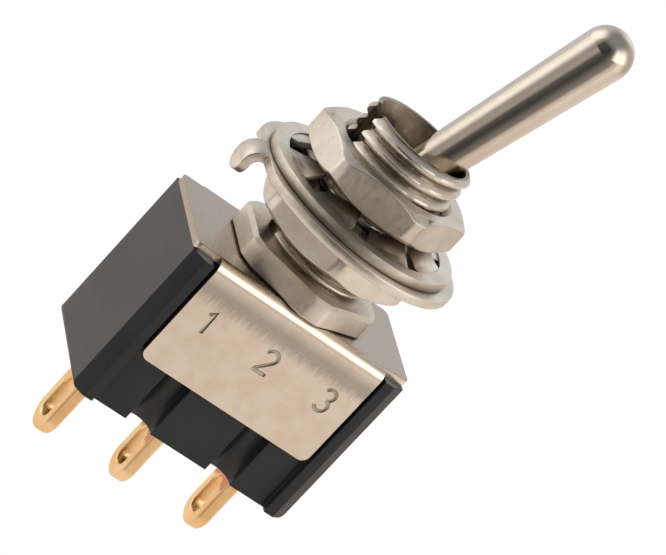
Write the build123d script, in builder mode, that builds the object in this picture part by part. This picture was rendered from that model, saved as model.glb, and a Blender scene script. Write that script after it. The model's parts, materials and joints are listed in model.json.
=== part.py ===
"""Miniature toggle switch, single pole, two positions, with solder lugs.

Frame: millimetres, +Z up along the threaded bushing, +X along the row of lugs.
The origin is on the bushing's axis, in the upper face of the frame plate.
"""
import os
from math import cos, radians, sin, tan

from build123d import *

os.makedirs("parts", exist_ok=True)

# ---------------------------------------------------------------- sizes
# Moulded housing
housing_length = 13.0
housing_height = 8.95
housing_end_width = 6.8  # across Y, on the flat end faces
housing_column_width = 7.76  # across Y, over the four corner columns
housing_column_run = 0.65  # length of the column's sloping corner along X
housing_column_length = 1.2  # from the end face to the recessed face
housing_recess_width = 6.9  # across Y, between the recessed faces
housing_foot_radius = 0.3
housing_fold_chamfer = 0.25  # upper edge of the recess, clear of the flap's fold
end_wall = 0.95
cavity_width = 3.8
cavity_depth = 6.9
cavity_corner_radius = 0.5
groove_spacing = 4.9  # between the two moulded grooves of one face
groove_width = 1.5
groove_depth = 1.0
groove_height = 4.3

# Sheet frame: a plate with two flaps folded down over the housing
frame_sheet = 0.4
frame_width = 6.55
frame_corner_radius = 0.3
flap_bend_radius = 0.6  # outside of the fold
flap_drop = 6.12
flap_corner_radius = 0.45
flap_gap = 0.03  # between the flap's inner face and the recess
flap_side_gap = 0.21  # between the flap's edge and the corner column

# Threaded bushing
thread_radius = 3.0
bushing_top = 9.25
bushing_rim_chamfer = 0.16
bushing_bore_radius = 2.1
base_height = 1.25
base_radius = 4.1
base_across_flats = 7.55
base_edge = 0.2  # chamfer round the top of the base
keyway_width = 1.35
keyway_floor = 2.35  # from the bushing's axis
neck_radius = 2.95
neck_gap = 0.03
lip_radius = 3.15
lip_height = 0.4
lip_gap = 0.1

# Lever
pivot_height = 4.62
lever_tilt = 16.45
lever_tip_radius = 1.352
lever_tip_height = 13.64  # tip ball's centre from the pivot, along the lever
lever_taper = 1.44  # half angle, the lever widens towards its tip
lever_ball_radius = 1.9
lever_arm_radius = 1.0
lever_arm_length = 7.85  # below the pivot
lever_stop_gap = 0.05  # to the mouth of the bushing, at either stop
lever_neck_gap = 0.12  # lower arm to the flared underside of the bushing
pivot_pin_radius = 0.5
pivot_pin_length = 4.9
pin_press_gap = 0.01
pin_running_gap = 0.03

# Spring plunger inside the lower arm
plunger_bore_radius = 0.7
plunger_bore_top = 2.8  # below the pivot
plunger_running_gap = 0.07
plunger_tip_radius = 0.8
plunger_reach = 9.15  # tip ball's centre below the pivot
plunger_head_height = 0.6
plunger_shank_length = 2.95
spring_wire_radius = 0.08
spring_turns = 4
spring_end_gap = 0.06
spring_side_gap = 0.05

# Rocker and contacts
rocker_fulcrum = 6.1  # underside of the fold, below the plate
rocker_sheet = 0.4
rocker_fold_radius = 0.8  # outside of the fold
rocker_arm_angle = 17.0
rocker_arm_end = 0.75  # from the button's centre to the end of the arm
rocker_width = 2.0
rocker_tilt = 8.0
pad_radius = 0.6
pad_height = 0.25
pad_edge = 0.1  # chamfer of the contact buttons
contact_radius = 0.75
contact_height = 0.3
contact_gap = 0.06  # under the rocker's lowered pad
contact_inset = 0.585  # from the end terminal towards the middle

# Terminals
lug_inset = 1.8  # from the housing's end face to the outer lug
lug_thickness = 0.72
lug_width = 2.15
lug_length = 4.3  # below the housing's foot
lug_slot_width = 1.05
lug_slot_length = 2.25
lug_slot_edge = 0.75  # from the slot's lower end to the lug's tip
lug_shoulder_radius = 0.75
lug_edge = 0.1  # chamfer round the lug and its slot
lug_slit_gap = 0.02  # round the blade, in the housing's floor
tab_sheet = 0.5
tab_length = 2.0  # from the blade's outer face towards the middle
tab_width = 2.8
saddle_length = 2.0
saddle_thickness = 0.6
saddle_slope = 5.0
saddle_gap = 0.05
cheek_gap = 0.15  # between the rocker's edge and the cradle's cheeks
cheek_height = 0.7

# Hardware on the bushing
nut_across_flats = 8.0
nut_corner_radius = 4.42
nut_face_radius = 3.95
nut_chamfer_angle = 35.0
nut_height = 1.7
nut_bore_gap = 0.03
nut_bore_chamfer = 0.25
lower_nut_gap = 1.05  # above the bushing's hexagonal base
lower_nut_angle = 19.0
upper_nut_angle = 38.5
ring_radius = 6.0
ring_sheet = 0.5
ring_bore_gap = 0.1
ring_key_side_gap = 0.1
ring_key_gap = 0.08  # from the key's end to the keyway's floor
ring_tab_width = 1.5
ring_tab_reach = 6.5
ring_tab_bend_radius = 0.95
ring_tab_drop = 1.25
ring_flat_run = 1.55  # the ring's edge is straight for this far on either side of the tab
washer_radius = 5.4
washer_rim_radius = 4.65
washer_bore_gap = 0.2
washer_sheet = 0.5
washer_gap = 0.03  # under the rim
washer_teeth = 8
washer_first_angle = 7.5
washer_tooth_sheet = 0.34
washer_root_sheet = 0.3  # where a tooth leaves the rim
washer_root_sink = 0.25  # how far a tooth is rooted inside the rim
washer_tooth_root = 2.45
washer_tooth_tip = 1.75
washer_twist = 17.0  # at the tooth's tip
washer_bend_run = 0.55  # from the rim to the bend, over which a tooth stays nearly flat
washer_bend_twist = 4.0
washer_bend_rise = 0.08  # of a tooth's middle over the rim's, at the bend
washer_tip_rise = 0.5  # and at its tip
washer_bite_gap = 0.03  # from the highest tooth edge to the nut

# ---------------------------------------------------------------- levels
housing_top = -frame_sheet
housing_foot = housing_top - housing_height
cavity_floor = housing_top - cavity_depth
cavity_length = housing_length - 2 * end_wall
flap_length = housing_length - 2 * (housing_column_length + flap_side_gap)
lug_pitch = housing_length / 2 - lug_inset
lower_nut_level = base_height + lower_nut_gap
nut_corner_drop = (nut_corner_radius - nut_face_radius) * tan(radians(nut_chamfer_angle))
ring_level = lower_nut_level + nut_height
ring_key_width = keyway_width - 2 * ring_key_side_gap
washer_level = ring_level + ring_sheet + washer_gap
washer_middle = washer_level + washer_sheet / 2
washer_tooth_radius = thread_radius + washer_bore_gap
tooth_lean = washer_tooth_tip / 2 * sin(radians(washer_twist))
tooth_half_sheet = washer_tooth_sheet / 2 * cos(radians(washer_twist))
tooth_top = washer_middle + washer_tip_rise + tooth_lean + tooth_half_sheet
upper_nut_level = tooth_top + washer_bite_gap
nut_bore_radius = thread_radius + nut_bore_gap
lever_axis = Axis((0, 0, pivot_height), (sin(radians(lever_tilt)), 0, cos(radians(lever_tilt))))
lever_plane = Plane(
    origin=(0, 0, pivot_height),
    x_dir=(cos(radians(lever_tilt)), 0, -sin(radians(lever_tilt))),
    z_dir=(0, -1, 0),
)
taper_slope = tan(radians(lever_taper))
tip_tangent_radius = lever_tip_radius * cos(radians(lever_taper))
tip_tangent_height = lever_tip_height - lever_tip_radius * sin(radians(lever_taper))


def shaft_radius(height):
    """Radius of the tapered shaft at a height above the pivot, along the lever."""
    return tip_tangent_radius - (tip_tangent_height - height) * taper_slope


# The mouth is a cone parallel to the leaning shaft's outer side.
mouth_slope = tan(radians(lever_tilt + lever_taper))
shaft_reach = shaft_radius(0) / cos(radians(lever_tilt + lever_taper)) * cos(radians(lever_taper))
mouth_gap = lever_stop_gap / cos(radians(lever_tilt + lever_taper))
bushing_mouth_radius = (bushing_top - pivot_height) * mouth_slope + shaft_reach + mouth_gap
mouth_depth = (bushing_mouth_radius - bushing_bore_radius) / mouth_slope

# The underside flares like the swing of the lower arm.
flare_slope = tan(radians(lever_tilt))
flare_start = lever_arm_radius / cos(radians(lever_tilt)) + lever_neck_gap
neck_foot = housing_top - lip_gap - lip_height
flare_foot_radius = (pivot_height - neck_foot) * flare_slope + flare_start
flare_top = pivot_height - (bushing_bore_radius - flare_start) / flare_slope

# Rocker frame: origin at the centre of the fold, x along the level arms.
rocker_centre = -rocker_fulcrum + rocker_fold_radius
rocker_plane = Plane(
    origin=(0, 0, rocker_centre),
    x_dir=(cos(radians(rocker_tilt)), 0, sin(radians(rocker_tilt))),
    z_dir=(0, -1, 0),
)
arm_sin = sin(radians(rocker_arm_angle))
arm_cos = cos(radians(rocker_arm_angle))
closed_angle = radians(rocker_arm_angle - rocker_tilt)
contact_x = lug_pitch - contact_inset
pad_foot_x = contact_x - pad_height * sin(closed_angle)
pad_offset = (pad_foot_x - rocker_fold_radius * sin(closed_angle)) / cos(closed_angle)
rocker_arm_length = pad_offset + rocker_arm_end
pad_foot_z = rocker_centre - rocker_fold_radius * cos(closed_angle) + pad_offset * sin(closed_angle)
pad_low = pad_foot_z - pad_height * cos(closed_angle) - (pad_radius - pad_edge) * sin(closed_angle)
tab_top = pad_low - contact_gap - contact_height
saddle_top = -rocker_fulcrum - saddle_gap
root_width = lug_width + 2 * lug_shoulder_radius


# ---------------------------------------------------------------- housing
with BuildPart() as housing:
    with BuildSketch(Plane.XY.offset(housing_foot)):
        with BuildLine():
            Polyline(
                (0, housing_recess_width / 2),
                (housing_length / 2 - housing_column_length, housing_recess_width / 2),
                (housing_length / 2 - housing_column_length, housing_column_width / 2),
                (housing_length / 2 - housing_column_run, housing_column_width / 2),
                (housing_length / 2, housing_end_width / 2),
                (housing_length / 2, 0),
            )
            mirror(about=Plane.XZ)
            mirror(about=Plane.YZ)
        make_face()
    extrude(amount=housing_height)
    fillet(
        housing.edges().filter_by(Axis.Y).group_by(Axis.Z)[0].filter_by_position(
            Axis.X, -housing_length, housing_length
        ).group_by(SortBy.LENGTH)[-1],
        radius=housing_foot_radius,
    )
    fold_edges = housing.edges().filter_by(Axis.X).group_by(Axis.Z)[-1]
    chamfer(fold_edges.group_by(SortBy.LENGTH)[-1], length=housing_fold_chamfer)
    # Two moulded grooves in each recessed face, open at the foot.
    groove_centre = housing_recess_width / 2 - groove_depth + groove_width / 2
    with BuildSketch(Plane.XY.offset(housing_foot)):
        with GridLocations(groove_spacing, 2 * groove_centre, 2, 2):
            Circle(groove_width / 2)
        with GridLocations(groove_spacing, 2 * groove_centre + groove_depth, 2, 2):
            Rectangle(groove_width, groove_depth)
    extrude(amount=groove_height, mode=Mode.SUBTRACT)
    # Contact chamber, and the pocket that clears the bushing's lip.
    with BuildSketch(Plane.XY.offset(cavity_floor)):
        RectangleRounded(cavity_length, cavity_width, cavity_corner_radius)
    extrude(amount=cavity_depth, mode=Mode.SUBTRACT)
    with BuildSketch(Plane.XY.offset(neck_foot - lip_gap)):
        Circle(lip_radius + lip_gap)
    extrude(amount=housing_top - neck_foot + lip_gap, mode=Mode.SUBTRACT)
    # Slits for the three terminals.
    with BuildSketch(Plane.XY.offset(housing_foot)):
        with GridLocations(lug_pitch, 0, 3, 1):
            Rectangle(lug_thickness + 2 * lug_slit_gap, root_width + 2 * lug_slit_gap)
    extrude(amount=cavity_floor - housing_foot, mode=Mode.SUBTRACT)
housing.part.label = "housing"
export_step(housing.part, "parts/housing.step")


# ---------------------------------------------------------------- frame
flap_face = housing_recess_width / 2 + flap_gap + frame_sheet
with BuildPart() as frame:
    with BuildSketch(Plane.XY.offset(-frame_sheet)):
        RectangleRounded(housing_length, frame_width, frame_corner_radius)
    extrude(amount=frame_sheet)
    with BuildSketch(Plane.YZ.offset(-flap_length / 2)):
        with BuildLine():
            fold_start = flap_face - flap_bend_radius
            plate_edge = frame_width / 2 - frame_sheet
            upper = Line((plate_edge, 0), (fold_start, 0))
            outside = JernArc(upper @ 1, (1, 0), flap_bend_radius, -90)
            outer = Line(outside @ 1, (flap_face, -flap_drop))
            tip = Line(outer @ 1, (flap_face - frame_sheet, -flap_drop))
            inner = Line(tip @ 1, (flap_face - frame_sheet, -flap_bend_radius))
            inside = JernArc(inner @ 1, (0, 1), flap_bend_radius - frame_sheet, 90)
            lower = Line(inside @ 1, (plate_edge, -frame_sheet))
            Line(lower @ 1, upper @ 0)
        make_face()
    extrude(amount=flap_length)
    fillet(frame.edges().filter_by(Axis.Y).group_by(Axis.Z)[0], radius=flap_corner_radius)
    mirror(about=Plane.XZ)
    with BuildSketch(Plane.XY.offset(-frame_sheet)):
        Circle(neck_radius + neck_gap)
    extrude(amount=frame_sheet, mode=Mode.SUBTRACT)
frame.part.label = "frame"
export_step(frame.part, "parts/frame.step")


# ---------------------------------------------------------------- bushing
with BuildPart() as bushing:
    with BuildSketch(Plane.XZ):
        with BuildLine():
            Polyline(
                (flare_foot_radius, neck_foot),
                (lip_radius, neck_foot),
                (lip_radius, housing_top - lip_gap / 2),
                (neck_radius, housing_top - lip_gap / 2),
                (neck_radius, base_height),
                (thread_radius, base_height),
                (thread_radius, bushing_top - bushing_rim_chamfer),
                (thread_radius - bushing_rim_chamfer, bushing_top),
                (bushing_mouth_radius, bushing_top),
                (bushing_bore_radius, bushing_top - mouth_depth),
                (bushing_bore_radius, flare_top),
                close=True,
            )
        make_face()
    revolve(axis=Axis.Z)
    with BuildSketch(Plane.XY):
        Circle(base_radius)
        RegularPolygon(
            base_across_flats / 2, 6, major_radius=False, rotation=30, mode=Mode.INTERSECT
        )
        Circle(neck_radius - 2 * neck_gap, mode=Mode.SUBTRACT)
    extrude(amount=base_height)
    base_face = bushing.faces().filter_by_position(Axis.Z, base_height, base_height)[0]
    chamfer(base_face.outer_wire().edges(), length=base_edge)
    with BuildSketch(Plane.XY.offset(base_height)):
        with Locations((-keyway_floor - thread_radius / 2, 0)):
            Rectangle(thread_radius, keyway_width)
    extrude(amount=bushing_top - base_height, mode=Mode.SUBTRACT)
    with BuildSketch(Plane.XZ):
        with Locations((0, pivot_height)):
            Circle(pivot_pin_radius + pin_press_gap)
    extrude(amount=thread_radius, both=True, mode=Mode.SUBTRACT)
bushing.part.label = "bushing"
export_step(bushing.part, "parts/bushing.step")


# ---------------------------------------------------------------- pivot pin
with BuildPart() as pivot_pin:
    with BuildSketch(Plane.XZ):
        with Locations((0, pivot_height)):
            Circle(pivot_pin_radius)
    extrude(amount=pivot_pin_length / 2, both=True)
    chamfer(pivot_pin.edges().filter_by(GeomType.CIRCLE), length=0.1)
pivot_pin.part.label = "pivot_pin"
export_step(pivot_pin.part, "parts/pivot_pin.step")


# ---------------------------------------------------------------- lever
with BuildPart() as lever:
    with BuildSketch(lever_plane):
        with BuildLine():
            foot = Line((0, -lever_arm_length), (lever_arm_radius, -lever_arm_length))
            arm = Line(foot @ 1, (lever_arm_radius, 0))
            step = Line(arm @ 1, (shaft_radius(0), 0))
            shaft = Line(step @ 1, (tip_tangent_radius, tip_tangent_height))
            tip_ball = JernArc(
                shaft @ 1, shaft % 1, lever_tip_radius, 90 + lever_taper
            )
            Line(tip_ball @ 1, foot @ 0)
        make_face()
    revolve(axis=lever_axis)
    with Locations(lever_plane.origin):
        Sphere(lever_ball_radius)
    with BuildSketch(lever_plane):
        with Locations((plunger_bore_radius / 2, -(plunger_bore_top + lever_arm_length) / 2)):
            Rectangle(plunger_bore_radius, lever_arm_length - plunger_bore_top)
    revolve(axis=lever_axis, mode=Mode.SUBTRACT)
    with BuildSketch(Plane.XZ):
        with Locations((0, pivot_height)):
            Circle(pivot_pin_radius + pin_running_gap)
    extrude(amount=lever_ball_radius, both=True, mode=Mode.SUBTRACT)
lever.part.label = "lever"
export_step(lever.part, "parts/lever.step")


# ---------------------------------------------------------------- plunger
plunger_shank_radius = plunger_bore_radius - plunger_running_gap
head_top = plunger_reach - plunger_head_height
shank_top = head_top - plunger_shank_length
with BuildPart() as plunger:
    with BuildSketch(lever_plane):
        with BuildLine():
            crown = Line((0, -shank_top), (plunger_shank_radius, -shank_top))
            shank = Line(crown @ 1, (plunger_shank_radius, -head_top))
            shoulder = Line(shank @ 1, (plunger_tip_radius, -head_top))
            side = Line(shoulder @ 1, (plunger_tip_radius, -plunger_reach))
            nose = JernArc(side @ 1, (0, -1), plunger_tip_radius, -90)
            Line(nose @ 1, crown @ 0)
        make_face()
    revolve(axis=lever_axis)
plunger.part.label = "plunger"
export_step(plunger.part, "parts/plunger.step")


# ---------------------------------------------------------------- plunger spring
spring_radius = plunger_bore_radius - spring_side_gap - spring_wire_radius
spring_top = plunger_bore_top + spring_end_gap + spring_wire_radius
spring_height = shank_top - spring_end_gap - spring_wire_radius - spring_top
with BuildPart() as plunger_spring:
    with BuildLine() as coil:
        Helix(
            pitch=spring_height / spring_turns,
            height=spring_height,
            radius=spring_radius,
            center=lever_plane.from_local_coords((0, -spring_top, 0)),
            direction=-lever_axis.direction,
        )
    with BuildSketch(Plane(origin=coil.line @ 0, z_dir=coil.line % 0)):
        RegularPolygon(spring_wire_radius, 6)
    sweep(path=coil.line, is_frenet=True)
plunger_spring.part.label = "plunger_spring"
export_step(plunger_spring.part, "parts/plunger_spring.step")


# ---------------------------------------------------------------- rocker
def rocker_point(side, along, depth):
    """Point of the rocker's section: an arm's side, distance out and distance from the fold centre."""
    return (side * (depth * arm_sin + along * arm_cos), -depth * arm_cos + along * arm_sin)


rocker_inner = rocker_fold_radius - rocker_sheet
with BuildPart() as rocker:
    with BuildSketch(rocker_plane):
        with BuildLine():
            under_left = Line(
                rocker_point(-1, rocker_arm_length, rocker_fold_radius),
                rocker_point(-1, 0, rocker_fold_radius),
            )
            under_fold = ThreePointArc(
                under_left @ 1, (0, -rocker_fold_radius), rocker_point(1, 0, rocker_fold_radius)
            )
            under_right = Line(
                under_fold @ 1, rocker_point(1, rocker_arm_length, rocker_fold_radius)
            )
            end_right = Line(under_right @ 1, rocker_point(1, rocker_arm_length, rocker_inner))
            top_right = Line(end_right @ 1, rocker_point(1, 0, rocker_inner))
            top_fold = ThreePointArc(
                top_right @ 1, (0, -rocker_inner), rocker_point(-1, 0, rocker_inner)
            )
            top_left = Line(top_fold @ 1, rocker_point(-1, rocker_arm_length, rocker_inner))
            Line(top_left @ 1, under_left @ 0)
        make_face()
    extrude(amount=rocker_width / 2, both=True)
rocker.part.label = "rocker"
export_step(rocker.part, "parts/rocker.step")


def rocker_pad(side):
    """Contact button riveted under one arm of the rocker."""
    seat = rocker_point(side, pad_offset, rocker_fold_radius)
    seat_point = rocker_plane.from_local_coords((*seat, 0))
    drop = rocker_plane.from_local_coords((seat[0] + side * arm_sin, seat[1] - arm_cos, 0))
    with BuildPart() as pad:
        with BuildSketch(Plane(origin=seat_point, z_dir=drop - seat_point)):
            Circle(pad_radius)
        extrude(amount=pad_height)
        outer_face = pad.faces().sort_by(Axis.Z)[0]
        chamfer(outer_face.edges(), length=pad_edge)
    return pad.part


for side, name in ((-1, "pad_left"), (1, "pad_right")):
    pad_part = rocker_pad(side)
    pad_part.label = name
    export_step(pad_part, f"parts/{name}.step")


# ---------------------------------------------------------------- terminals
lug_tip = housing_foot - lug_length


def lug_blade(position, top):
    """Flat blade in the YZ plane: rounded lug with an eyelet slot, shoulders and root."""
    shoulder_foot = housing_foot - lug_shoulder_radius
    with BuildPart() as blade:
        with BuildSketch(Plane.YZ.offset(position - lug_thickness / 2)):
            with BuildLine():
                nose = ThreePointArc(
                    (-lug_width / 2, lug_tip + lug_width / 2),
                    (0, lug_tip),
                    (lug_width / 2, lug_tip + lug_width / 2),
                )
                edge = Line(nose @ 1, (lug_width / 2, shoulder_foot))
                shoulder = JernArc(edge @ 1, (0, 1), lug_shoulder_radius, -90)
                root = Line(shoulder @ 1, (root_width / 2, top))
                crest = Line(root @ 1, (-root_width / 2, top))
                far_root = Line(crest @ 1, (-root_width / 2, housing_foot))
                far_shoulder = JernArc(far_root @ 1, (1, 0), lug_shoulder_radius, -90)
                Line(far_shoulder @ 1, nose @ 0)
            make_face()
            slot_level = lug_tip + lug_slot_edge + lug_slot_length / 2
            with Locations((0, slot_level)):
                SlotOverall(lug_slot_length, lug_slot_width, rotation=90, mode=Mode.SUBTRACT)
        extrude(amount=lug_thickness)
        rim = blade.edges().filter_by(Axis.X, reverse=True)
        rim = rim.filter_by_position(Axis.Z, lug_tip - 1, shoulder_foot + 0.01)
        chamfer(rim, length=lug_edge)
    return blade.part


with BuildPart() as terminal_common:
    cheek_inner = rocker_width / 2 + cheek_gap
    add(lug_blade(0, saddle_top + cheek_height))
    with BuildSketch(Plane.XY.offset(saddle_top)):
        Rectangle(2 * lug_thickness, 2 * cheek_inner)
    extrude(amount=cheek_height, mode=Mode.SUBTRACT)
    with BuildSketch(Plane.XZ):
        with BuildLine():
            saddle_rise = tan(radians(saddle_slope)) * saddle_length / 2
            Polyline(
                (0, saddle_top),
                (saddle_length / 2, saddle_top + saddle_rise),
                (saddle_length / 2, saddle_top - saddle_thickness),
                (-saddle_length / 2, saddle_top - saddle_thickness),
                (-saddle_length / 2, saddle_top + saddle_rise),
                close=True,
            )
        make_face()
    extrude(amount=cheek_inner, both=True)
terminal_common.part.label = "terminal_common"
export_step(terminal_common.part, "parts/terminal_common.step")


def end_terminal(side):
    """Blade whose inner end is bent level towards the middle, to carry a contact."""
    outer_face = lug_pitch + lug_thickness / 2
    with BuildPart() as terminal:
        add(lug_blade(side * lug_pitch, tab_top - tab_sheet))
        with BuildSketch(Plane.XZ):
            with BuildLine():
                Polyline(
                    (side * outer_face, tab_top - tab_sheet),
                    (side * outer_face, tab_top),
                    (side * (outer_face - tab_length), tab_top),
                    (side * (outer_face - tab_length), tab_top - tab_sheet),
                    close=True,
                )
            make_face()
        extrude(amount=tab_width / 2, both=True)
        knee = terminal.edges().filter_by(Axis.Y).group_by(Axis.Z)[-1].sort_by(Axis.X)
        fillet(knee[-1 if side > 0 else 0], radius=tab_sheet * 0.8)
    return terminal.part


def fixed_contact(side):
    """Flat contact button on the end terminal's tab."""
    with BuildPart() as contact:
        with BuildSketch(Plane((side * contact_x, 0, tab_top))):
            Circle(contact_radius)
        extrude(amount=contact_height)
        chamfer(contact.faces().sort_by(Axis.Z)[-1].edges(), length=pad_edge)
    return contact.part


for side, name in ((-1, "left"), (1, "right")):
    terminal_part = end_terminal(side)
    terminal_part.label = f"terminal_{name}"
    export_step(terminal_part, f"parts/terminal_{name}.step")
    contact_part = fixed_contact(side)
    contact_part.label = f"contact_{name}"
    export_step(contact_part, f"parts/contact_{name}.step")


# ---------------------------------------------------------------- nuts
def hex_nut(level, corner_angle):
    """Hexagon nut with both faces chamfered; its lower face is at the given level."""
    top = level + nut_height
    with BuildPart() as nut:
        with BuildSketch(Plane.XY.offset(level)):
            RegularPolygon(nut_across_flats / 2, 6, major_radius=False, rotation=corner_angle)
        extrude(amount=nut_height)
        with BuildSketch(Plane.XZ):
            with BuildLine():
                Polyline(
                    (nut_bore_radius + nut_bore_chamfer, level),
                    (nut_face_radius, level),
                    (nut_corner_radius, level + nut_corner_drop),
                    (nut_corner_radius, top - nut_corner_drop),
                    (nut_face_radius, top),
                    (nut_bore_radius + nut_bore_chamfer, top),
                    (nut_bore_radius, top - nut_bore_chamfer),
                    (nut_bore_radius, level + nut_bore_chamfer),
                    close=True,
                )
            make_face()
        revolve(axis=Axis.Z, mode=Mode.INTERSECT)
    return nut.part


lower_nut = hex_nut(lower_nut_level, lower_nut_angle)
lower_nut.label = "lower_nut"
export_step(lower_nut, "parts/lower_nut.step")
upper_nut = hex_nut(upper_nut_level, upper_nut_angle)
upper_nut.label = "upper_nut"
export_step(upper_nut, "parts/upper_nut.step")


# ---------------------------------------------------------------- locating ring
with BuildPart() as locating_ring:
    bend_start = ring_tab_reach - ring_tab_bend_radius
    key_end = keyway_floor + ring_key_gap
    ring_bore = thread_radius + ring_bore_gap
    with BuildSketch(Plane.XY.offset(ring_level)):
        Circle(ring_radius)
        Circle(ring_bore, mode=Mode.SUBTRACT)
        with Locations((-(key_end + ring_bore + ring_sheet) / 2, 0)):
            Rectangle(ring_bore + ring_sheet - key_end, ring_key_width)
        with Locations((-bend_start - ring_radius / 2, 0)):
            Rectangle(ring_radius, ring_tab_width + 2 * ring_flat_run, mode=Mode.SUBTRACT)
    extrude(amount=ring_sheet)
    with BuildSketch(Plane.XZ):
        with BuildLine():
            ring_top = ring_level + ring_sheet
            tab_foot = ring_level - ring_tab_drop
            upper = Line((-bend_start + ring_sheet, ring_top), (-bend_start, ring_top))
            outside = JernArc(upper @ 1, (-1, 0), ring_tab_bend_radius, 90)
            outer = Line(outside @ 1, (-ring_tab_reach, tab_foot))
            tip = Line(outer @ 1, (-ring_tab_reach + ring_sheet, tab_foot))
            inner = Line(tip @ 1, (-ring_tab_reach + ring_sheet, ring_top - ring_tab_bend_radius))
            inside = JernArc(inner @ 1, (0, 1), ring_tab_bend_radius - ring_sheet, -90)
            lower = Line(inside @ 1, (-bend_start + ring_sheet, ring_level))
            Line(lower @ 1, upper @ 0)
        make_face()
    extrude(amount=ring_tab_width / 2, both=True)
    tab_corners = locating_ring.edges().filter_by(Axis.X).group_by(Axis.Z)[0]
    fillet(tab_corners, radius=ring_tab_width * 0.48)
locating_ring.part.label = "locating_ring"
export_step(locating_ring.part, "parts/locating_ring.step")


# ---------------------------------------------------------------- lock washer
def tooth_plane(radius, rise, twist):
    """Plane across a tooth at +X, raised from the rim and turned about the tooth's length."""
    return Plane(
        origin=(radius, 0, washer_middle + rise),
        x_dir=(0, cos(radians(twist)), sin(radians(twist))),
        z_dir=(-1, 0, 0),
    )


with BuildPart() as washer_tooth:
    with BuildSketch(tooth_plane(washer_rim_radius + washer_root_sink, 0, 0)):
        Rectangle(washer_tooth_root, washer_root_sheet)
    bend_radius = washer_rim_radius - washer_bend_run
    with BuildSketch(tooth_plane(bend_radius, washer_bend_rise, washer_bend_twist)):
        Rectangle(washer_tooth_root, washer_tooth_sheet)
    with BuildSketch(tooth_plane(washer_tooth_radius, washer_tip_rise, washer_twist)):
        Rectangle(washer_tooth_tip, washer_tooth_sheet)
    loft(ruled=True)

with BuildPart() as lock_washer:
    with BuildSketch(Plane.XY.offset(washer_level)):
        Circle(washer_radius)
        Circle(washer_rim_radius, mode=Mode.SUBTRACT)
    extrude(amount=washer_sheet)
    with PolarLocations(0, washer_teeth, start_angle=washer_first_angle):
        add(washer_tooth.part)
lock_washer.part.label = "lock_washer"
export_step(lock_washer.part, "parts/lock_washer.step")
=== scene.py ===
import json  # noqa: E402
import logging  # noqa: E402
import math  # noqa: E402
from dataclasses import dataclass, field  # noqa: E402
from enum import Enum  # noqa: E402

import bmesh  # noqa: E402
import bpy  # noqa: E402
from mathutils import Matrix, Vector  # noqa: E402

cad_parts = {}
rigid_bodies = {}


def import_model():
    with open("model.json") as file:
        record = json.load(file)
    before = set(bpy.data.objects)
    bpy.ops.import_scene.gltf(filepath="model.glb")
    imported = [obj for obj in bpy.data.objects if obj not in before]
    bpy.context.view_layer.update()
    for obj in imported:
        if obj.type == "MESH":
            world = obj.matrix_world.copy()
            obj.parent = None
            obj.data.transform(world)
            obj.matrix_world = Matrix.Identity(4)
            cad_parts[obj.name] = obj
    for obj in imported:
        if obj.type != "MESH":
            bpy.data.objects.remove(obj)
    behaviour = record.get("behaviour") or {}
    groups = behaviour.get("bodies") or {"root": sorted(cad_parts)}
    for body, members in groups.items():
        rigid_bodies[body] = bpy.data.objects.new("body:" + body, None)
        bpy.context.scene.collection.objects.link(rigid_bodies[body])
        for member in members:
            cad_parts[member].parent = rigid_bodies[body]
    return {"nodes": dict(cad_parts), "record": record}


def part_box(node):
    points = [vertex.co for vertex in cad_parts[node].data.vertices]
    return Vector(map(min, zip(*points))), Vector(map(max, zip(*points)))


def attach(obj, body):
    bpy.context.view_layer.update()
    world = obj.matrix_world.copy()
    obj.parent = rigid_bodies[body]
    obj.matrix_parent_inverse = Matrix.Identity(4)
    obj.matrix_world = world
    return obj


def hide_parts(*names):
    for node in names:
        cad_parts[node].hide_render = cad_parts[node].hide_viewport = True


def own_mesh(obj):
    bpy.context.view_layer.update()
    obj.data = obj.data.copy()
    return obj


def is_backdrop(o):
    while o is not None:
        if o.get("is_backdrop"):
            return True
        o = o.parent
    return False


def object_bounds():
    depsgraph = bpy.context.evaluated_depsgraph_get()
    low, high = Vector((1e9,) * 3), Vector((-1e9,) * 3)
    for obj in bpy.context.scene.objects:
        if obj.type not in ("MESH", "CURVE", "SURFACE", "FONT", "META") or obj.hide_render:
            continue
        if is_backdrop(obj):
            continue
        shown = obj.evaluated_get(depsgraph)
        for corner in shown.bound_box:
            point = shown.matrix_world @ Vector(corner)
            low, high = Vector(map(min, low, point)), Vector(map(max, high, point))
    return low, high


LOG = logging.getLogger("toggle_switch")
MM = 0.001
RISE = (0.0, 1.0)
FALL = (1.0, 0.0)

Socket = bpy.types.NodeSocket
Colour = tuple[float, float, float, float]
Triple = tuple[float, float, float]
Range = tuple[float, float]
Path = list[tuple[float, float]]
Ring = list[bmesh.types.BMVert]


class Palette(Enum):
    """Linear colours, each as its red, green and blue."""

    @property
    def opaque(self) -> Colour:
        """The colour with full opacity."""
        return (*self.value, 1.0)

    def at(self, level: float) -> Colour:
        """Scales the colour to a brightness and gives it full opacity."""
        return (*(level * part for part in self.value), 1.0)


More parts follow.
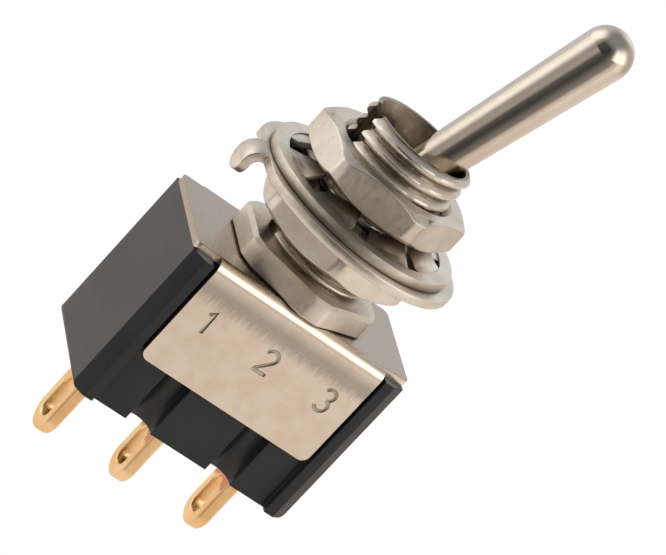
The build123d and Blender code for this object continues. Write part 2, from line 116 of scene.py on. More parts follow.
class Tone(Palette):
    """Colours of the switch's metals and mouldings."""

    NICKEL_BRIGHT = (0.82, 0.77, 0.70)
    NICKEL_WARM = (0.68, 0.61, 0.53)
    # Painted shade that corners and thread roots darken towards.
    NICKEL_PAINTED_SHADE = (0.13, 0.095, 0.065)
    LEVER_PLATE = (0.74, 0.67, 0.60)
    LEVER_SHADE = (0.62, 0.54, 0.46)
    SHEET_BRIGHT = (0.96, 0.86, 0.75)
    SHEET_WARM = (0.89, 0.76, 0.64)
    # Painted dark reflection on the upper flap.
    SHEET_DARK_PAINTED_REFLECTION = (0.40, 0.36, 0.33)
    # Dull tone of the sheared edges, and painted shade on the plate's top.
    SHEET_DULL_AND_PAINTED_SHADE = (0.36, 0.31, 0.26)
    # Painted shade inside the stamped digits, in two tones.
    STAMP_PAINTED_SHADE_PALE = (0.55, 0.49, 0.43)
    STAMP_PAINTED_SHADE_DEEP = (0.42, 0.34, 0.26)
    GOLD_LIGHT = (1.0, 0.75, 0.43)
    GOLD_RED = (0.97, 0.61, 0.29)
    # Painted shade in the terminals' corners.
    GOLD_PAINTED_SHADE = (0.40, 0.20, 0.08)
    # Copper-red painted shade on the lugs' sides.
    COPPER_RED_PAINTED_SHADE = (0.62, 0.22, 0.12)
    MOULDING = (0.012, 0.013, 0.0165)
    MOULDING_DUST = (0.0185, 0.0195, 0.023)
    PIT_BROWN = (0.22, 0.13, 0.07)
    STEEL = (0.52, 0.52, 0.53)
    STEEL_SHADE = (0.34, 0.34, 0.35)
    SILVER = (0.82, 0.81, 0.78)
    SILVER_SHADE = (0.60, 0.58, 0.54)
    STRIP = (0.74, 0.55, 0.30)
    STRIP_SHADE = (0.50, 0.34, 0.17)
    NYLON = (0.80, 0.78, 0.70)
    NYLON_SHADE = (0.66, 0.63, 0.55)
    # Painted shade inside the bushing's bore.
    BORE_PAINTED_SHADE = (0.34, 0.29, 0.23)
    # Painted shade under the nut and between the washer's teeth.
    WASHER_PAINTED_SHADE = (0.17, 0.12, 0.08)
    PAPER = (0.93, 0.93, 0.93)


class Glow(Palette):
    """Tints of the light that the studio's walls give back."""

    PLAIN = (1.0, 1.0, 1.0)
    WINDOW = (1.0, 0.99, 0.92)
    DUSKY = (1.0, 0.93, 0.88)
    WARM = (1.0, 0.89, 0.79)


@dataclass(frozen=True)
class Grain:
    """A noise: its cells per metre, its octaves, and its factors along X, Y and Z."""

    scale: float
    detail: float = 4.0
    stretch: Triple = (1.0, 1.0, 1.0)


class Wiring:
    """A node tree being wired, with the steps that the finishes and the room share."""

    noise_middle: Range = (0.3, 0.7)

    def __init__(self, tree: bpy.types.NodeTree) -> None:
        """Takes up the tree."""
        self.tree = tree

    def node(self, kind: str, **settings: object) -> bpy.types.Node:
        """Adds a node.

        Args:
            kind: The node's type name.
            settings: Attributes to set on it.

        Returns:
            The new node.
        """
        made = self.tree.nodes.new(kind)
        for key, value in settings.items():
            setattr(made, key, value)
        return made

    def join(self, source: Socket, target: Socket) -> None:
        """Links one socket to another."""
        self.tree.links.new(source, target)

    def feed(self, value: Socket | float | Colour, target: Socket) -> None:
        """Gives a socket its value.

        Args:
            value: A socket to link, or the plain value to set.
            target: The socket that gets it.
        """
        if isinstance(value, Socket):
            self.join(value, target)
        else:
            target.default_value = value

    def reckon(self, operation: str, first: Socket, second: Socket | float = 0.0) -> Socket:
        """Works out a value from one or two others.

        Args:
            operation: The Math node's name for the step, such as ADD.
            first: The first value's socket.
            second: The second value, as a socket or a number.

        Returns:
            The result's socket.
        """
        result = self.node("ShaderNodeMath", operation=operation)
        self.join(first, result.inputs[0])
        self.feed(second, result.inputs[1])
        return result.outputs["Value"]

    def dot(self, source: Socket, axis: Triple) -> Socket:
        """Measures a vector along an axis.

        Args:
            source: The vector's socket.
            axis: The axis, with a length that scales the result.

        Returns:
            The measure's value socket.
        """
        measure = self.node("ShaderNodeVectorMath", operation="DOT_PRODUCT")
        measure.inputs[1].default_value = axis
        self.join(source, measure.inputs[0])
        return measure.outputs["Value"]

    def span(
        self, source: Socket, result: Range, reach: Range = noise_middle, easing: str = "LINEAR"
    ) -> Socket:
        """Maps a value onto a range.

        Args:
            source: The value socket.
            result: Results at the two ends of the reach.
            reach: Values at which the result starts and stops to change.
            easing: How the result changes between them.

        Returns:
            The mapped value's socket.
        """
        spread = self.node("ShaderNodeMapRange", interpolation_type=easing)
        for key, value in zip(("From Min", "From Max", "To Min", "To Max"), (*reach, *result)):
            spread.inputs[key].default_value = value
        self.join(source, spread.inputs["Value"])
        return spread.outputs["Result"]

    def ramp(
        self, source: Socket, stops: list[tuple[float, Colour]], easing: str = "LINEAR"
    ) -> Socket:
        """Turns a value into colours.

        Args:
            source: The value socket.
            stops: Positions with the colour at each.
            easing: How one colour passes into the next.

        Returns:
            The colour socket.
        """
        ramp = self.node("ShaderNodeValToRGB")
        ramp.color_ramp.interpolation = easing
        elements = ramp.color_ramp.elements
        while len(elements) < len(stops):
            elements.new(0.5)
        for element, (position, colour) in zip(elements, stops):
            element.position = position
            element.color = colour
        self.join(source, ramp.inputs["Fac"])
        return ramp.outputs["Color"]

    def mixed(self, amount: Socket, under: Socket, over: Socket | Colour) -> Socket:
        """Mixes one colour into another.

        Args:
            amount: Share of the colour laid over.
            under: The colour underneath.
            over: The colour laid over it.

        Returns:
            The mixed colour's socket.
        """
        mix = self.node("ShaderNodeMix", data_type="RGBA")
        first, second = [socket for socket in mix.inputs if socket.type == "RGBA"]
        self.join(amount, mix.inputs["Factor"])
        self.join(under, first)
        self.feed(over, second)
        return next(socket for socket in mix.outputs if socket.type == "RGBA")

    def shown(self, lit: Socket, seen: Socket, share: float, output: Socket) -> None:
        """Lets one shader work as light and shows another to the eye.

        Args:
            lit: The shader that lights the scene.
            seen: The shader that is seen.
            share: How much of it is seen.
            output: The tree's output socket.
        """
        path = self.node("ShaderNodeLightPath")
        mix = self.node("ShaderNodeMixShader")
        self.join(self.reckon("MULTIPLY", path.outputs["Is Camera Ray"], share), mix.inputs["Fac"])
        self.join(lit, mix.inputs[1])
        self.join(seen, mix.inputs[2])
        self.join(mix.outputs["Shader"], output)


class Shader(Wiring):
    """A material being built: its node tree, its coordinates and its Principled shader."""

    square_on: Range = (0.75, 0.95)
    corner_samples: int = 6

    def __init__(self, name: str) -> None:
        """Starts an empty material with a Principled shader.

        Args:
            name: The material's name.
        """
        self.material = bpy.data.materials.new(name)
        self.material.use_nodes = True
        super().__init__(self.material.node_tree)
        self.surface = self.tree.nodes["Principled BSDF"]
        coordinates = self.node("ShaderNodeTexCoord")
        self.place = coordinates.outputs["Object"]
        self.normal = coordinates.outputs["Normal"]

    def give(self, setting: str, value: Socket | float | Colour) -> None:
        """Gives one of the surface's settings its value."""
        self.feed(value, self.surface.inputs[setting])

    def noise(self, grain: Grain) -> Socket:
        """Adds a noise in the part's own coordinates.

        Args:
            grain: Its scale, detail and stretch.

        Returns:
            The noise's value socket.
        """
        mapping = self.node("ShaderNodeMapping")
        mapping.inputs["Scale"].default_value = grain.stretch
        self.join(self.place, mapping.inputs["Vector"])
        noise = self.node("ShaderNodeTexNoise")
        noise.inputs["Scale"].default_value = grain.scale
        noise.inputs["Detail"].default_value = grain.detail
        self.join(mapping.outputs["Vector"], noise.inputs["Vector"])
        return noise.outputs["Fac"]

    def relief(self, source: Socket, depth: float, strength: float) -> None:
        """Adds bump to the surface.

        Args:
            source: The height socket.
            depth: Height in metres that a value of one stands for.
            strength: Share of the bump that is used.
        """
        bump = self.node("ShaderNodeBump")
        bump.inputs["Distance"].default_value = depth
        bump.inputs["Strength"].default_value = strength
        self.join(source, bump.inputs["Height"])
        normal = self.surface.inputs["Normal"]
        if normal.is_linked:
            self.join(normal.links[0].from_socket, bump.inputs["Normal"])
        self.join(bump.outputs["Normal"], normal)

    def facing(self, axis: Triple) -> Socket:
        """Finds the surfaces that lie square to an axis.

        Args:
            axis: The axis, in the part's own coordinates.

        Returns:
            A value that is one on surfaces across the axis and zero along it.
        """
        size = self.reckon("ABSOLUTE", self.dot(self.normal, axis))
        return self.span(size, RISE, self.square_on)

    def radius(self) -> Socket:
        """Measures the distance from the switch's axis.

        Returns:
            The distance's socket.
        """
        flat = self.node("ShaderNodeVectorMath", operation="MULTIPLY")
        flat.inputs[1].default_value = (1, 1, 0)
        self.join(self.place, flat.inputs[0])
        length = self.node("ShaderNodeVectorMath", operation="LENGTH")
        self.join(flat.outputs["Vector"], length.inputs[0])
        return length.outputs["Value"]

    def crevices(self, reach: float) -> Socket:
        """Finds corners that other surfaces hem in.

        Args:
            reach: How far the painted corner shade reaches, in metres.

        Returns:
            A value that is one in the open and falls towards zero in a corner.
        """
        shade = self.node("ShaderNodeAmbientOcclusion", samples=self.corner_samples)
        shade.inputs["Distance"].default_value = reach
        return shade.outputs["AO"]


@dataclass(frozen=True)
class HeightBand:
    """A stretch along the switch's axis with another colour or gloss, for painted light and shade
    as well as real changes of plating.

    Its lower border wanders, and it may keep to the surfaces that lie across one axis.
    """

    foot: float
    top: float
    border: float
    tone: Tone
    share: float = 0.8
    gloss: float = 0.0
    ragged: float = 0.0
    streaks: Grain = Grain(3200.0, 4.0, (1.7, 1.7, 0.35))
    across: Triple | None = None

    def mask(self, shader: Shader) -> Socket:
        """Builds the band's mask.

        Args:
            shader: The material being built.

        Returns:
            A value that rises from zero outside the band to one inside it.
        """
        height = shader.dot(shader.place, (0.0, 0.0, 1.0))
        wander = shader.span(shader.noise(self.streaks), (-self.ragged, self.ragged))
        level = shader.reckon("ADD", height, wander)
        above = shader.span(level, RISE, (self.foot, self.foot + self.border))
        below = shader.span(height, FALL, (self.top - self.border, self.top))
        mask = shader.reckon("MULTIPLY", above, below)
        if self.across:
            mask = shader.reckon("MULTIPLY", mask, shader.facing(self.across))
        return mask


@dataclass(frozen=True)
class MetalFinish:
    """A plated metal: two tones in soft patches, scratches, pits, and painted shade in its corners.
    """

    name: str
    bright: Tone
    shade: Tone
    # Tone of the painted shade in corners.
    corner_shade: Tone = Tone.NICKEL_PAINTED_SHADE
    roughness: Range = (0.22, 0.38)
    patch: float = 420.0
    patch_detail: float = 5.0
    patch_edges: Range = (0.36, 0.62)
    patch_depth: float = 0.8e-5
    patch_relief: float = 0.25
    scratch: Grain = Grain(9000.0, 3.0, (1.0, 1.0, 0.25))
    scratch_depth: float = 0.1e-5
    scratch_relief: float = 0.5
    # Reach, share and fading range of the painted shade in corners.
    corner_shade_reach: float = 0.35 * MM
    corner_shade_share: float = 0.75
    corner_shade_range: Range = (0.15, 0.75)
    pits: float = 0.0
    pit: Grain = Grain(5200.0, 4.0)
    pit_edges: Range = (0.64, 0.74)
    bands: tuple[HeightBand, ...] = ()

    def build(self) -> bpy.types.Material:
        """Builds the material.

        Returns:
            The finished material.
        """
        shader = Shader(self.name)
        shader.give("Metallic", 1.0)
        patches = shader.noise(Grain(self.patch, self.patch_detail))
        tones = (self.shade.opaque, self.bright.opaque)
        colour = shader.ramp(patches, list(zip(self.patch_edges, tones)))
        fine = shader.noise(self.scratch)
        rough = shader.span(fine, self.roughness)
        for band in self.bands:
            mask = band.mask(shader)
            cover = shader.reckon("MULTIPLY", mask, band.share)
            colour = shader.mixed(cover, colour, band.tone.opaque)
            rough = shader.reckon("ADD", rough, shader.reckon("MULTIPLY", mask, -band.gloss))
        if self.pits:
            specks = shader.span(shader.noise(self.pit), (0.0, self.pits), self.pit_edges)
            colour = shader.mixed(specks, colour, Tone.PIT_BROWN.opaque)
        # Painted shade: the colour darkens towards the corner shade tone where ambient occlusion
        # finds a corner.
        corners = shader.crevices(self.corner_shade_reach)
        corner_shade_share = shader.span(corners, (self.corner_shade_share, 0.0), self.corner_shade_range)
        shader.give("Base Color", shader.mixed(corner_shade_share, colour, self.corner_shade.opaque))
        shader.give("Roughness", rough)
        shader.relief(fine, self.scratch_depth, self.scratch_relief)
        shader.relief(patches, self.patch_depth, self.patch_relief)
        return shader.material


@dataclass(frozen=True)
class ThreadFinish:
    """Plated thread, coloured by radius as painted light and shade: light crests, darker roots,
    darkest towards the axis of the screw.
    """

    name: str
    bore: float = 2.62 * MM
    crest: float = 2.98 * MM
    # Painted light and shade by radius: darkest in the bore, dark in the roots, light on the
    # crests.
    tones: tuple[tuple[float, Tone], ...] = (
        (0.0, Tone.BORE_PAINTED_SHADE),
        (0.2, Tone.NICKEL_PAINTED_SHADE),
        (0.6, Tone.NICKEL_WARM),
        (0.95, Tone.NICKEL_BRIGHT),
    )
    stain: Grain = Grain(900.0, 5.0)
    stain_share: float = 0.35
    stain_edges: Range = (0.45, 0.75)
    rub: Grain = Grain(3000.0)
    roughness: Range = (0.24, 0.42)
    tool_marks: Grain = Grain(2600.0, 5.0)
    mark_depth: float = 2.0e-5
    mark_relief: float = 0.4

    def build(self) -> bpy.types.Material:
        """Builds the material.

        Returns:
            The finished material.
        """
        shader = Shader(self.name)
        shader.give("Metallic", 1.0)
        height = shader.span(shader.radius(), RISE, (self.bore, self.crest))
        colour = shader.ramp(height, [(place, tone.opaque) for place, tone in self.tones])
        stain = shader.span(shader.noise(self.stain), (0.0, self.stain_share), self.stain_edges)
        shader.give("Base Color", shader.mixed(stain, colour, Tone.NICKEL_WARM.opaque))
        shader.give("Roughness", shader.span(shader.noise(self.rub), self.roughness))
        shader.relief(shader.noise(self.tool_marks), self.mark_depth, self.mark_relief)
        return shader.material


@dataclass(frozen=True)
class PlasticFinish:
    """A moulding with a fine matt skin, faint sink marks and dust in patches."""

    name: str
    tone: Tone
    dust: Tone
    sheen: float = 0.47
    sheen_tint: Colour = (0.92, 0.97, 1.0, 1.0)
    roughness: Range = (0.26, 0.42)
    patch: Grain = Grain(300.0, 6.0)
    patch_edges: Range = (0.40, 0.78)
    skin: Grain = Grain(7000.0, 2.0)
    skin_depth: float = 1.0e-5
    skin_relief: float = 0.45
    sink: Grain = Grain(220.0, 2.0)
    sink_depth: float = 6.0e-5
    sink_relief: float = 0.3

    def build(self) -> bpy.types.Material:
        """Builds the material.

        Returns:
            The finished material.
        """
        shader = Shader(self.name)
        shader.give("Specular IOR Level", self.sheen)
        shader.give("Specular Tint", self.sheen_tint)
        patches = shader.noise(self.patch)
        tones = (self.tone.opaque, self.dust.opaque)
        shader.give("Base Color", shader.ramp(patches, list(zip(self.patch_edges, tones))))
        shader.give("Roughness", shader.span(patches, self.roughness))
        shader.relief(shader.noise(self.skin), self.skin_depth, self.skin_relief)
        shader.relief(shader.noise(self.sink), self.sink_depth, self.sink_relief)
        return shader.material


class SheetBand(Enum):
    """Where the folded sheet looks different: painted dark reflection along its flaps, a painted
    highlight on its folds, dull sheared edges, and painted shade on its top.
    """

    # Lower roughness on the upper flap, with a darker colour there as painted dark reflection.
    FLAP_POLISH = HeightBand(
        foot=-2.2 * MM,
        top=-0.62 * MM,
        border=0.62 * MM,
        tone=Tone.SHEET_DARK_PAINTED_REFLECTION,
        share=0.7,
        gloss=0.1,
        ragged=0.2 * MM,
    )
    # Lower roughness on the fold, with the bright sheet tone over it as a painted highlight.
    FOLD_SHINE = HeightBand(
        foot=-0.75 * MM, top=-0.02 * MM, border=0.14 * MM, tone=Tone.SHEET_BRIGHT, gloss=0.12
    )
    SHEARED_EDGE = HeightBand(
        foot=-0.6 * MM, top=0.1 * MM, border=0.03 * MM, tone=Tone.SHEET_DULL_AND_PAINTED_SHADE, across=(1, 0, 0)
    )
    # Painted shade darkens the plate's top, which also gets a lower roughness.
    DULL_TOP = HeightBand(
        foot=-0.05 * MM,
        top=1.0 * MM,
        border=0.03 * MM,
        tone=Tone.SHEET_DULL_AND_PAINTED_SHADE,
        share=0.9,
        gloss=0.12,
        ragged=0.01 * MM,
    )


class Finishes:
    """Every finish of the switch, built once."""

    # Painted shade: a copper-red colour on the lugs' faces that face along X, from 11 mm down up to
    # the frame.
    lug_side_painted_shade = HeightBand(
        foot=-11.0 * MM,
        top=0.0,
        border=0.14 * MM,
        tone=Tone.COPPER_RED_PAINTED_SHADE,
        share=0.85,
        ragged=0.1 * MM,
        across=(1, 0, 0),
    )

    def __init__(self) -> None:
        """Builds the materials."""
        self.nickel = MetalFinish(
            "plated_nickel", Tone.NICKEL_BRIGHT, Tone.NICKEL_WARM, roughness=(0.30, 0.50), pits=0.3
        ).build()
        # The washer's painted shade reaches 0.8 mm, darkening its teeth under the nut.
        self.washer = MetalFinish(
            "washer_nickel",
            Tone.NICKEL_BRIGHT,
            Tone.NICKEL_WARM,
            corner_shade=Tone.WASHER_PAINTED_SHADE,
            roughness=(0.30, 0.48),
            patch=700.0,
            corner_shade_reach=0.8 * MM,
            corner_shade_share=0.92,
            corner_shade_range=(0.35, 0.95),
            pits=0.5,
        ).build()
        self.sheet = MetalFinish(
            "frame_sheet",
            Tone.SHEET_BRIGHT,
            Tone.SHEET_WARM,
            roughness=(0.30, 0.44),
            patch=900.0,
            scratch_depth=0.05e-5,
            bands=tuple(band.value for band in SheetBand),
        ).build()
        # Darker finish on the stamped strokes' walls, as painted shade in the recess.
        self.stamp_shade = MetalFinish(
            "stamped_sheet_painted_shade", Tone.STAMP_PAINTED_SHADE_PALE, Tone.STAMP_PAINTED_SHADE_DEEP, roughness=(0.36, 0.48), patch=900.0
        ).build()
        # The lever's painted shade in corners reaches 0.8 mm.
        self.lever = MetalFinish(
            "lever_plate",
            Tone.LEVER_PLATE,
            Tone.LEVER_SHADE,
            roughness=(0.10, 0.17),
            patch=160.0,
            scratch_depth=0.25e-5,
            corner_shade_reach=0.8 * MM,
        ).build()
        self.gold = self.plated_gold("terminal_gold")
        # Gold with painted shade on the lugs' sides.
        self.gold_with_painted_side_shade = self.plated_gold("gold_with_painted_side_shade", self.lug_side_painted_shade)
        self.steel = MetalFinish("pin_steel", Tone.STEEL, Tone.STEEL_SHADE).build()
        self.silver = MetalFinish("contact_silver", Tone.SILVER, Tone.SILVER_SHADE).build()
        self.strip = MetalFinish("rocker_strip", Tone.STRIP, Tone.STRIP_SHADE).build()
        self.moulding = PlasticFinish(
            "housing_moulding", Tone.MOULDING, Tone.MOULDING_DUST
        ).build()
        self.nylon = PlasticFinish("plunger_nylon", Tone.NYLON, Tone.NYLON_SHADE).build()
        self.thread = ThreadFinish("bushing_thread").build()

    def plated_gold(self, name: str, *bands: HeightBand) -> bpy.types.Material:
        """Builds the terminals' plating.

        Args:
            name: The material's name.
            bands: Stretches with another colour, such as painted shade on the lugs' sides.

        Returns:
            The finished material.
        """
        return MetalFinish(
            name,
            Tone.GOLD_LIGHT,
            Tone.GOLD_RED,
            corner_shade=Tone.GOLD_PAINTED_SHADE,
            roughness=(0.28, 0.42),
            patch=520.0,
            corner_shade_share=0.15,
            bands=bands,
        ).build()


def polish(obj: bpy.types.Object, material: bpy.types.Material, angle: float = 32.0) -> None:
    """Gives a mesh its finish and shades it smooth up to an angle.

    Args:
        obj: The mesh object.
        material: The finish that covers it.
        angle: Largest angle between faces that still shades smooth, in degrees.
    """
    mesh = obj.data
    mesh.materials.clear()
    mesh.materials.append(material)
    for polygon in mesh.polygons:
        polygon.material_index = 0
    mesh.shade_smooth()
    mesh.set_sharp_from_angle(angle=math.radians(angle))


@dataclass(frozen=True)
class EasedEdge:
    """The rounding of a solid's corners, made by modifiers that leave its own mesh as it is."""

    width: float
    segments: int = 2
    weld_reach: float = 1e-7
    flat_angle: float = 0.4
    corner_angle: float = 35.0

    def add(self, obj: bpy.types.Object) -> None:
        """Adds the modifiers.

        Args:
            obj: The mesh object.
        """
        weld = obj.modifiers.new("weld", "WELD")
        weld.merge_threshold = self.weld_reach
        flats = obj.modifiers.new("flats", "DECIMATE")
        flats.decimate_type = "DISSOLVE"
        flats.angle_limit = math.radians(self.flat_angle)
        bevel = obj.modifiers.new("ease", "BEVEL")
        bevel.width = self.width
        bevel.segments = self.segments
        bevel.limit_method = "ANGLE"
        bevel.angle_limit = math.radians(self.corner_angle)
        bevel.harden_normals = True


def steady_normals(obj: bpy.types.Object, weight: int = 100) -> None:
    """Lets a piece's large flat faces rule its shading next to small ones.

    Args:
        obj: The mesh object.
        weight: How far large faces rule over small ones, where 50 is not at all.
    """
    weigh = obj.modifiers.new("steady", "WEIGHTED_NORMAL")
    weigh.keep_sharp = True
    weigh.weight = weight


def shown_mesh(obj: bpy.types.Object) -> bpy.types.Mesh:
    """Makes a mesh of what an object shows.

    Args:
        obj: A mesh with modifiers, or a curve.

    Returns:
        The new mesh.
    """
    bpy.context.view_layer.update()
    graph = bpy.context.evaluated_depsgraph_get()
    return bpy.data.meshes.new_from_object(obj.evaluated_get(graph))


def settle(obj: bpy.types.Object) -> None:
    """Applies every modifier of an object to its mesh.

    Args:
        obj: The mesh object.
    """
    made = shown_mesh(obj)
    obj.modifiers.clear()
    obj.data = made


def link_object(name: str, data: bpy.types.ID) -> bpy.types.Object:
    """Puts a mesh, curve, lamp or camera into the scene.

    Args:
        name: The new object's name.
        data: What it holds.

    Returns:
        The new object.
    """
    obj = bpy.data.objects.new(name, data)
    bpy.context.scene.collection.objects.link(obj)
    return obj


def mesh_from(bm: bmesh.types.BMesh, name: str) -> bpy.types.Mesh:
    """Makes a mesh of the shape being built, and frees the shape.

    Args:
        bm: The shape.
        name: The mesh's name.

    Returns:
        The new mesh.
    """
    mesh = bpy.data.meshes.new(name)
    bm.to_mesh(mesh)
    bm.free()
    return mesh


def cut(obj: bpy.types.Object, tool: bpy.types.Object) -> None:
    """Cuts a tool's volume out of an object and removes the tool.

    Args:
        obj: The object that is cut.
        tool: The closed mesh that is taken away.
    """
    knife = obj.modifiers.new("cut", "BOOLEAN")
    knife.operation = "DIFFERENCE"
    knife.solver = "EXACT"
    knife.material_mode = "TRANSFER"
    knife.object = tool
    settle(obj)
    bpy.data.objects.remove(tool)


@dataclass
class Bushing:
    """The turned bushing: hexagonal base, rolled thread, keyway, bore and swaged neck."""

    finishes: Finishes
    thread_radius: float
    pitch: float = 0.75 * MM
    thread_depth: float = 0.28 * MM
    crest_share: float = 0.22
    flank_share: float = 0.62
    run_in_start: float = 0.1 * MM
    run_in_length: float = 0.3 * MM
    rim_chamfer: float = 0.16 * MM
    base_height: float = 1.25 * MM
    base_across_flats: float = 7.55 * MM
    base_edge: float = 0.2 * MM
    foot_edge: float = 0.1 * MM
    neck_radius: float = 2.95 * MM
    neck_share: float = 0.8
    thread_share: float = 0.9
    lip_radius: float = 3.15 * MM
    lip_height: float = 0.45 * MM
    flare_radius: float = 2.79 * MM
    flare_top: float = 1.50 * MM
    bore_radius: float = 2.1 * MM
    mouth_radius: float = 2.6 * MM
    mouth_depth: float = 1.55 * MM
    mouth_edge: Range = (0.05 * MM, 0.08 * MM)
    keyway_width: float = 1.35 * MM
    keyway_floor: float = 2.35 * MM
    steps: int = 160
    rows: int = 150
    thread_smoothing: float = 40.0
    base_smoothing: float = 30.0

    def thread_at(self, turn: float, height: float, top: float) -> float:
        """Radius of the threaded surface.

        Args:
            turn: Angle round the bushing, in turns.
            height: Height above the frame plate.
            top: Height of the bushing's rim.

        Returns:
            The radius there, in metres.
        """
        climb = height - self.base_height
        flank = abs((climb / self.pitch - turn) % 1.0 - 0.5) * 2.0
        crest = 1.0 - min(1.0, max(0.0, (flank - self.crest_share) / self.flank_share))
        depth = self.thread_depth * (1.0 - crest)
        fade = min(1.0, max(0.0, (climb - self.run_in_start) / self.run_in_length))
        radius = self.thread_radius - self.thread_depth + (self.thread_depth - depth) * fade
        return min(radius, self.thread_radius - self.rim_chamfer + (top - height))

    def barrel(self, low: float, top: float) -> bpy.types.Mesh:
        """Lathes the threaded barrel, its bore and its neck.

        Args:
            low: Height of the swaged lip's foot.
            top: Height of the rim.

        Returns:
            The closed mesh.
        """
        edge_in, edge_down = self.mouth_edge
        inner = [
            (self.mouth_radius, top),
            (self.mouth_radius - edge_in, top - edge_down),
            (self.bore_radius, top - self.mouth_depth),
            (self.bore_radius, (top + self.flare_top) / 2),
            (self.bore_radius, self.flare_top),
            (self.flare_radius, low),
        ]
        neck = [
            (self.lip_radius, low),
            (self.lip_radius, low + self.lip_height),
            (self.neck_radius, low + self.lip_height),
            (self.neck_radius, self.base_height * self.neck_share),
        ]
        foot = self.base_height * self.thread_share
        bm = bmesh.new()
        rings = [self.ring(bm, [radius] * self.steps, height) for radius, height in neck]
        for row in range(self.rows + 1):
            height = foot + (top - foot) * row / self.rows
            radii = [self.thread_at(k / self.steps, height, top) for k in range(self.steps)]
            rings.append(self.ring(bm, radii, height))
        rings += [self.ring(bm, [radius] * self.steps, height) for radius, height in inner]
        return self.closed(bm, rings, "bushing_barrel")

    def ring(self, bm: bmesh.types.BMesh, radii: list[float], height: float) -> Ring:
        """Adds one ring of vertices round the axis.

        Args:
            bm: The shape being built.
            radii: Radius at each step.
            height: Height of the ring.

        Returns:
            The ring's vertices.
        """
        made = []
        for k, radius in enumerate(radii):
            angle = 2 * math.pi * k / self.steps
            made.append(bm.verts.new((radius * math.cos(angle), radius * math.sin(angle), height)))
        return made

    def closed(self, bm: bmesh.types.BMesh, rings: list[Ring], name: str) -> bpy.types.Mesh:
        """Joins each ring to the next, and the last one to the first.

        Args:
            bm: The shape being built.
            rings: Its rings, in order.
            name: The mesh's name.

        Returns:
            The closed mesh.
        """
        for lower, upper in zip(rings, rings[1:] + rings[:1]):
            for k in range(self.steps):
                after = (k + 1) % self.steps
                bm.faces.new((lower[k], lower[after], upper[after], upper[k]))
        bmesh.ops.recalc_face_normals(bm, faces=bm.faces)
        return mesh_from(bm, name)

    def base(self, radius: float) -> bpy.types.Mesh:
        """Builds the hexagonal base with eased upper and lower edges.

        Args:
            radius: Radius that cuts the hexagon's corners.

        Returns:
            The closed mesh.
        """
        apothem = self.base_across_flats / 2
        sector = math.pi / 3
        outline = []
        for k in range(self.steps):
            angle = 2 * math.pi * k / self.steps
            off = (angle + sector / 2) % sector - sector / 2
            outline.append(min(radius, apothem / math.cos(off)))
        sections = [
            (self.foot_edge, 0.0),
            (0.0, self.foot_edge),
            (0.0, self.base_height - self.base_edge),
            (self.base_edge, self.base_height),
        ]
        bm = bmesh.new()
        rings = [self.ring(bm, [r - inset for r in outline], height) for inset, height in sections]
        inner = self.thread_radius - self.thread_depth
        rings.append(self.ring(bm, [inner] * self.steps, self.base_height))
        rings.append(self.ring(bm, [inner] * self.steps, 0.0))
        return self.closed(bm, rings, "bushing_base")

    def keyway(self, top: float) -> bpy.types.Object:
        """Makes the block that cuts the keyway into the thread.

        Args:
            top: Height of the rim.

        Returns:
            The block.
        """
        depth = 2 * self.thread_radius
        tall = top - self.base_height
        centre = (-self.keyway_floor - depth / 2, 0, self.base_height + tall)
        bm = bmesh.new()
        bmesh.ops.create_cube(bm, size=1.0)
        bmesh.ops.scale(bm, vec=(depth, self.keyway_width, 2 * tall), verts=bm.verts)
        bmesh.ops.translate(bm, vec=centre, verts=bm.verts)
        return link_object("keyway", mesh_from(bm, "keyway"))

    def build(self) -> list[bpy.types.Object]:
        """Builds and dresses the bushing.

        Returns:
            The new pieces.
        """
        low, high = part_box("bushing")
        barrel = link_object("bushing_barrel", self.barrel(low.z, high.z))
        cut(barrel, self.keyway(high.z))
        base = link_object("bushing_base", self.base(high.y))
        polish(barrel, self.finishes.thread, self.thread_smoothing)
        polish(base, self.finishes.nickel, self.base_smoothing)
        steady_normals(base)
        for piece in (barrel, base):
            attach(piece, "body")
        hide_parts("bushing")
        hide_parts("bushing")
        return [barrel, base]


def arc(
    centre: tuple[float, float], radius: float, start: float, end: float, steps: int = 14
) -> Path:
    """Lays points along a circular arc.

    Args:
        centre: The arc's centre.
        radius: Its radius.
        start: Angle of its first point, in degrees.
        end: Angle of its last point, in degrees.
        steps: Number of runs along it.

    Returns:
        The points.
    """
    angles = [math.radians(start + (end - start) * k / steps) for k in range(steps + 1)]
    return [(centre[0] + radius * math.cos(a), centre[1] + radius * math.sin(a)) for a in angles]


class Digit(Enum):
    """Strokes of the stamped terminal numbers, as shares of a digit's height."""

    ONE = ([(0.02, 0.0), (0.02, 1.0), (-0.2, 0.78)],)
    TWO = (
        [*arc((0.0, 0.73), 0.27, 165.0, -38.0), (-0.26, 0.03)],
        [(-0.3, 0.0), (0.3, 0.0)],
    )
    THREE = (
        arc((0.0, 0.755), 0.245, 155.0, -80.0),
        arc((0.0, 0.26), 0.26, 80.0, -155.0),
    )


